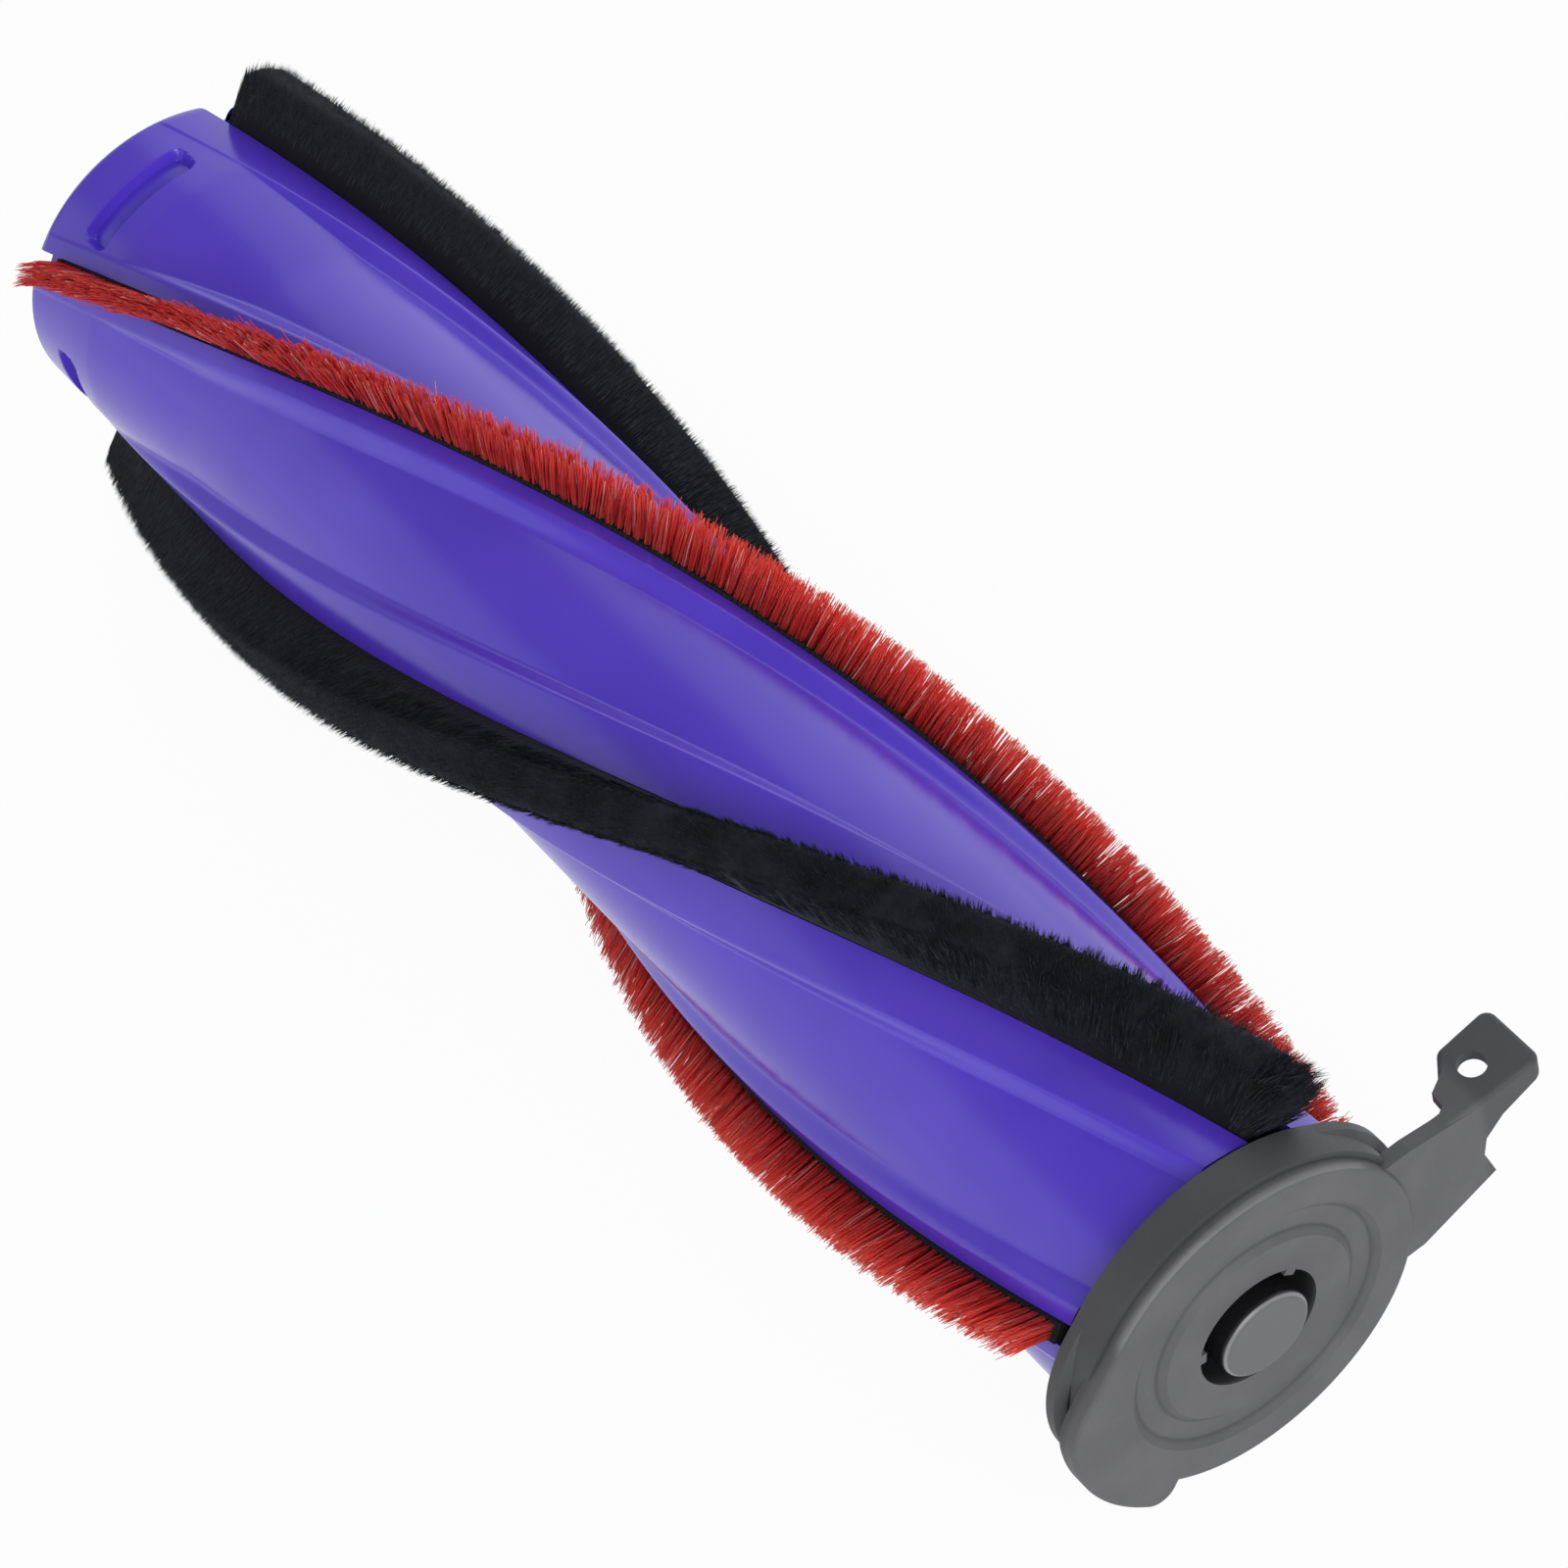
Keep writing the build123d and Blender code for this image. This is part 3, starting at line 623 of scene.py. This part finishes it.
def sway(x, out, turn):
    """How far the soft pile leans across at a point, which grows towards the cap and the tips."""
    along = np.clip((x - SWAY_FROM) / (STRIP_END - SWAY_FROM), 0, 1)
    up = np.clip((out - SWAY_FOOT) / (CARBON_TIP - SWAY_FOOT), 0, 1)
    return -CAP_SWAY * along * up if turn == SWAY_TURN else 0 * x


def pile_heart(name, turn):
    """Closed strip along the helix: a section outline, extruded in steps and then twisted."""
    section = ((HEART_FOOT, -3.05), (22.3, -3.05), (26.5, -3.1), (29.0, -3.0), (29.75, -2.5),
               (HEART_TOP, -1.5), (HEART_TOP + 0.05, 0.0))
    section = section + tuple((out, -b) for out, b in reversed(section[:-1]))
    bpy.ops.object.select_all(action="DESELECT")
    bpy.ops.mesh.primitive_circle_add(vertices=len(section), radius=0.01, fill_type="NGON")
    heart = bpy.context.object
    heart.name = name
    for vertex, (out, across) in zip(heart.data.vertices, section):
        vertex.co = (HEART_START * MM, out * MM, across * MM)
    pace = (HEART_END - HEART_START) / HEART_STEPS * MM
    bpy.ops.object.mode_set(mode="EDIT")
    bpy.ops.mesh.select_all(action="SELECT")
    bpy.ops.mesh.extrude_repeat(steps=HEART_STEPS, offset=(pace, 0, 0))
    bpy.ops.mesh.select_all(action="SELECT")
    bpy.ops.mesh.normals_make_consistent(inside=False)
    bpy.ops.object.mode_set(mode="OBJECT")
    flat = np.array([v.co for v in heart.data.vertices]) / MM
    lean = sway(flat[:, 0], flat[:, 1], turn)
    turned = on_strip(flat[:, 0], flat[:, 1], flat[:, 2] + lean, turn)
    heart.data.vertices.foreach_set("co", turned.reshape(-1))
    heart.data.update()
    rng = np.random.default_rng(HEART_SEED)
    own = heart.data.attributes.new("strand", "FLOAT", "POINT")
    own.data.foreach_set("value", rng.random(len(flat)).astype(np.float32) * 0.5)
    # The level rises from the foot, and the finish uses it to paint shade low on the heart.
    level = heart.data.attributes.new("level", "FLOAT", "POINT")
    raised = (flat[:, 1] - LEVEL_FOOT) / (CARBON_TIP - LEVEL_FOOT) * HEART_LEVEL
    level.data.foreach_set("value", raised.astype(np.float32))
    return heart


# %% Coat of fibres
TOP_FIBRES, SIDE_FIBRES, CAP_FIBRES, DRIVE_FIBRES = 18500, 18500, 6000, 2000
TOP_HALF, SIDE_HALF, END_HALF = 2.9, 2.85, 2.8
SHOULDER_DROP, TIP_SPREAD = 0.9, 1.12
CLUMPS, CLUMP_LEAN = 900, 0.28
FAN, FAN_FROM, PAST_DRIVE, PAST_CAP = 2.4, 4, 0.4, 3.0
PILE_SEED = 31


def pile_coat(name, turn, seed):
    """Fibres on the top, sides and ends of a soft strip, in small clumps that lean together."""
    rng = np.random.default_rng(seed)
    clump_x = rng.uniform(STRIP_START, STRIP_END, CLUMPS)
    clump_lean = rng.normal(0, CLUMP_LEAN, (CLUMPS, 3))
    order = np.argsort(clump_x)
    clump_x, clump_lean = clump_x[order], clump_lean[order]

    def shoulder(b, half):
        """How far the tips drop towards the sides."""
        return SHOULDER_DROP * (np.abs(b) / half) ** 4

    def fibres(x, root_out, root_b, tip_out, tip_b, loose):
        """Roots and tips, with the clumps' lean, the fan at the cap and the sway added."""
        count = len(x)
        ragged = np.clip((x - 70) / 60, 0.3, 1.3)[:, None]
        lean = clump_lean[np.clip(np.searchsorted(clump_x, x), 0, CLUMPS - 1)] * ragged
        splay = FAN * np.clip((x - STRIP_END + FAN_FROM) / FAN_FROM, 0, 1) ** 2
        tip_x = x + lean[:, 0] * loose + rng.normal(0, 0.2, count) * loose + splay
        tip_x = np.clip(tip_x, STRIP_START - PAST_DRIVE, STRIP_END + PAST_CAP)
        tip_out = tip_out + lean[:, 2] * loose
        tip_b = tip_b + lean[:, 1] * 0.7 * loose + sway(x, tip_out, turn)
        roots = on_strip(x, root_out, root_b + sway(x, root_out, turn), turn)
        return roots, on_strip(tip_x, tip_out, tip_b, turn)

    def anywhere(count):
        """Places along the whole strip."""
        return rng.uniform(STRIP_START + 0.2, STRIP_END - 0.2, count)

    b = np.clip(rng.normal(0, 2.2, TOP_FIBRES), -TOP_HALF, TOP_HALF)
    top = fibres(
        anywhere(TOP_FIBRES), rng.uniform(27.2, 28.6, TOP_FIBRES), b * 0.95,
        CARBON_TIP - shoulder(b, TOP_HALF) + rng.normal(-0.2, 0.22, TOP_FIBRES),
        b * TIP_SPREAD + rng.normal(0, 0.16, TOP_FIBRES), 1.0,
    )
    sign = np.where(rng.random(SIDE_FIBRES) < 0.5, -1.0, 1.0)
    low = rng.uniform(22.0, 27.0, SIDE_FIBRES)
    side = fibres(
        anywhere(SIDE_FIBRES), low, sign * SIDE_HALF,
        np.minimum(low + rng.uniform(3.0, 4.6, SIDE_FIBRES), 30.6),
        sign * (3.2 + np.abs(rng.normal(0, 0.10, SIDE_FIBRES))), 0.7,
    )
    cap_x = STRIP_END - rng.uniform(0.1, 2.6, CAP_FIBRES)
    drive_x = STRIP_START + rng.uniform(0.1, 1.2, DRIVE_FIBRES)
    end_x = np.concatenate((cap_x, drive_x))
    ends = len(end_x)
    end_b = rng.uniform(-END_HALF, END_HALF, ends)
    end_root = rng.uniform(20.8, 24.5, ends)
    end_tip = CARBON_TIP - shoulder(end_b, END_HALF) + rng.normal(-0.5, 0.4, ends)
    end_tip = end_root + (end_tip - end_root) * rng.uniform(0.15, 1.0, ends) ** 0.5
    end_spread = end_b * TIP_SPREAD + rng.normal(0, 0.2, ends)
    end = fibres(end_x, end_root, end_b, end_tip, end_spread, 1.0)
    roots = np.concatenate((top[0], side[0], end[0]))
    tips = np.concatenate((top[1], side[1], end[1]))
    count = len(roots)
    bow = rng.normal(0, 0.10, (count, 3)) * MM
    width = rng.uniform(0.16, 0.34, count) * MM
    return stamp(name, fibre, roots, tips, bow, width, rng.random(count))


black_strips = []
for k, turn in enumerate(CARBON["turns"]):
    coat = pile_coat(f"black_coat_{k + 1}", turn, PILE_SEED + k)
    heart = pile_heart(f"black_pile_{k + 1}", turn)
    bpy.ops.object.select_all(action="DESELECT")
    coat.select_set(True)
    heart.select_set(True)
    bpy.context.view_layer.objects.active = heart
    bpy.ops.object.join()
    bpy.ops.object.shade_smooth()
    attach(heart, "roller")
    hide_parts(f"carbon_pile_{k + 1}")
    black_strips.append(heart)
    print(heart.name, "has", len(heart.data.polygons), "faces")

# %% Black pile finish
black, root, shader, place = new_finish("black_pile")
own, level = filament_values(root)
blotch = noise(root, place, 110, detail=3.0)
fine = noise(root, place, 1500, detail=2.0)
nap = own.step(0.25, 1.0).mix(rgb(0.005, 0.006, 0.009), rgb(0.036, 0.040, 0.060))
nap = (blotch.step(0.40, 0.66) * 0.4).mix(nap, rgb(0.030, 0.034, 0.048))
along = axes(root, place)[0]
# Painted light: the pile is painted lighter towards the drive end, where light grazes it.
nap = ((1 - along.step(0.01, 0.11)) * 0.55).mix(nap, rgb(0.046, 0.048, 0.054))
# Painted shade: the fibres and the heart are painted darker towards their foot.
nap = level.step(0.0, 0.7).mix(rgb(0.004, 0.004, 0.006), nap)
plug(
    root, shader,
    Base_Color=nap, Roughness=0.75 + fine * 0.2, Specular_IOR_Level=0.12,
    Sheen_Weight=0.06, Sheen_Roughness=0.5, Normal=bump(root, fine, 0.5, 0.0004),
)
for strip in black_strips:
    strip.data.materials.clear()
    strip.data.materials.append(black)
print("black pile on", len(black_strips), "strips")

# %% [markdown]
# ## Strip bases
# Each strip stands on a black woven base that slides into its slot. Only the spine of the red
# strips shows, as a dark line at their foot, so it gets a close weave and no gloss.


# %% Woven base finish
def wear(nodes, material):
    """Puts one finish on CAD nodes by name."""
    for name in nodes:
        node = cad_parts[name]
        node.data.materials.clear()
        node.data.materials.append(material)


woven, root, shader, place = new_finish("woven_base")
weave = root.node(
    "ShaderNodeTexWave", {"Vector": place, "Scale": 420, "Distortion": 2.0, "Detail": 1.0},
    bands_direction="X",
)
lint = noise(root, place, 700)
plug(
    root, shader,
    Base_Color=(weave * 0.5 + lint * 0.5).mix(rgb(0.006, 0.006, 0.007), rgb(0.022, 0.022, 0.024)),
    Roughness=0.8 + lint * 0.15, Specular_IOR_Level=0.2, Normal=bump(root, weave, 0.4, 0.0002),
)
wear([f"{kind}_backing_{k}" for kind in ("carbon", "nylon") for k in (1, 2)], woven)
print("woven bases done")

# %% [markdown]
# ## End cap
# The cap is a matt dark grey moulding with a spark-eroded grain. Its skirt and tab are painted
# darker as painted shade, the upper edge of its face carries a painted highlight, and painted shade
# darkens both creases of the ring groove. In the middle a well holds the axle's button. The well
# and the button's side are painted near-black and polished, as painted shade in the deep well, and
# the button's face is matt again inside a painted highlight on its edge. These bands lie at set
# distances from the axis and along it, so the finishes find them from the Object coordinates, in
# metres.


# %% Distance from the axis, and soft bands
def axis_distance(root, place):
    """How far a point lies from the roller's axis."""
    flat = root.node("ShaderNodeVectorMath", {0: place, 1: (0, 1, 1)}, operation="MULTIPLY")
    return root.node("ShaderNodeVectorMath", {0: flat}, out="Value", operation="LENGTH")


def band(value, low, full, fade, high):
    """Soft band: rises from low to full, and falls from fade to high."""
    return value.step(low, full) * (1 - value.step(fade, high))


# %% Grey plastic finish
grey, root, shader, place = new_finish("grey_plastic")
out = axis_distance(root, place)
along, across, above = axes(root, place)
grain = noise(root, place, 2600, detail=2.0)
cloud = noise(root, place, 90, detail=3.0)
rubs = noise(root, place, 380, detail=4.0, roughness=0.7)
skin = cloud.step(0.3, 0.7).mix(rgb(0.086, 0.087, 0.091), rgb(0.106, 0.107, 0.111))
skin = (rubs.step(0.62, 0.78) * 0.25).mix(skin, rgb(0.16, 0.16, 0.165))
# Painted shade: the skirt and the tab are painted darker than the face.
arm = across.step(0.019, 0.022)
skirt = (1 - along.step(0.2228, 0.2240)) * (1 - arm)
tab = across.step(0.0325, 0.0345)
skin = root.maths("MAXIMUM", skirt * 0.55, tab * 0.55).mix(skin, rgb(0.030, 0.033, 0.034))
# Painted highlight: a pale line along the upper edge of the face's rim.
upper = above.step(0.0128, 0.0150)
rim = band(out, 0.02175, 0.02195, 0.0221, 0.0222) * along.step(0.2238, 0.2244)
skin = (rim * upper * (1 - arm) * 0.5).mix(skin, rgb(0.24, 0.24, 0.245))
face = along.step(0.2238, 0.2241)
# Painted shade: dark lines in both creases of the ring groove.
outer_crease_shade = band(out, 0.01610, 0.01640, 0.01645, 0.01690)
inner_crease_shade = band(out, 0.01340, 0.01372, 0.01378, 0.01410)
skin = ((outer_crease_shade + inner_crease_shade) * face * 0.4).mix(skin, rgb(0.030, 0.030, 0.033))
# Painted shade: the well is painted near-black, with a lower roughness.
well = (1 - out.step(0.00802, 0.00818)) * (1 - along.step(0.2243, 0.2248))
skin = well.mix(skin, rgb(0.006, 0.006, 0.007))
plug(
    root, shader,
    Base_Color=skin, Roughness=(0.50 + grain * 0.14) * (1 - well * 0.6),
    Specular_IOR_Level=0.4, Normal=bump(root, grain, 0.12, 0.0002),
)
wear(["end_cap"], grey)
print("grey plastic on the cap")

# %% Button finish
button, root, shader, place = new_finish("button_plastic")
along = axes(root, place)[0]
grain = noise(root, place, 2200, detail=2.0)
face = along.step(0.22640, 0.22656)
# Painted highlight: a pale band on the edge of the button's face.
edge = band(along, 0.22612, 0.22632, 0.22642, 0.22656)
# Painted shade: the button's side, down in the well, is painted near-black.
shaded_side_and_face = face.mix(rgb(0.010, 0.010, 0.011), rgb(0.110, 0.112, 0.116))
plug(
    root, shader,
    Base_Color=(edge * 0.6).mix(shaded_side_and_face, rgb(0.36, 0.36, 0.37)),
    Roughness=0.22 + face * 0.30 + grain * 0.08, Specular_IOR_Level=0.5,
    Normal=bump(root, grain, 0.06, 0.0002),
)
wear(["axle_button"], button)
print("button has its matt face and bright edge")

# %% [markdown]
# ## What the roller hides
# The drive socket, the bearing and the axle lie inside. They show only through the open drive end
# or when the part is taken apart, and still get their own finishes: dark moulded plastic, ground
# steel with turning marks round the axis, blued spring steel and grey felt.


# %% Steel finishes
RINGS_PER_METRE = 9000


def steel_finish(name, dark, light, rough):
    """Turned steel: fine rings round the axis."""
    material, root, shader, place = new_finish(name)
    out = axis_distance(root, place)
    rings = root.node(
        "ShaderNodeTexNoise", {"W": out * RINGS_PER_METRE, "Detail": 2.0}, noise_dimensions="1D"
    )
    stain = noise(root, place, 300)
    plug(
        root, shader,
        Base_Color=(rings * 0.7 + stain * 0.3).mix(dark, light), Metallic=1.0,
        Roughness=rough + rings * 0.15,
    )
    return material


wear(
    ["bearing_outer_ring", "bearing_inner_ring", "bearing_balls", "bearing_cage",
     "bearing_shield_inner", "bearing_shield_outer", "stub_axle", "thrust_washer"],
    steel_finish("bearing_steel", rgb(0.42, 0.43, 0.45), rgb(0.66, 0.67, 0.69), 0.16),
)
wear(
    ["retaining_clip"],
    steel_finish("spring_steel", rgb(0.10, 0.11, 0.14), rgb(0.26, 0.27, 0.30), 0.3),
)
print("steel pieces done")

# %% Dark plastic and felt
dark, root, shader, place = new_finish("dark_plastic")
grain = noise(root, place, 1400)
cloud = noise(root, place, 130)
plug(
    root, shader,
    Base_Color=cloud.mix(rgb(0.018, 0.018, 0.020), rgb(0.036, 0.036, 0.040)),
    Roughness=0.45 + grain * 0.2, Normal=bump(root, grain, 0.1, 0.0002),
)
wear(["drive_socket", "bearing_hub"], dark)

felt, root, shader, place = new_finish("felt")
fuzz = noise(root, place, 1800, detail=5.0, roughness=0.7)
plug(
    root, shader,
    Base_Color=fuzz.mix(rgb(0.20, 0.19, 0.18), rgb(0.42, 0.41, 0.38)),
    Roughness=0.85 + fuzz * 0.1, Sheen_Weight=0.3, Normal=bump(root, fuzz, 0.7, 0.0004),
)
wear(["felt_seal"], felt)
print("socket, plug and felt done")
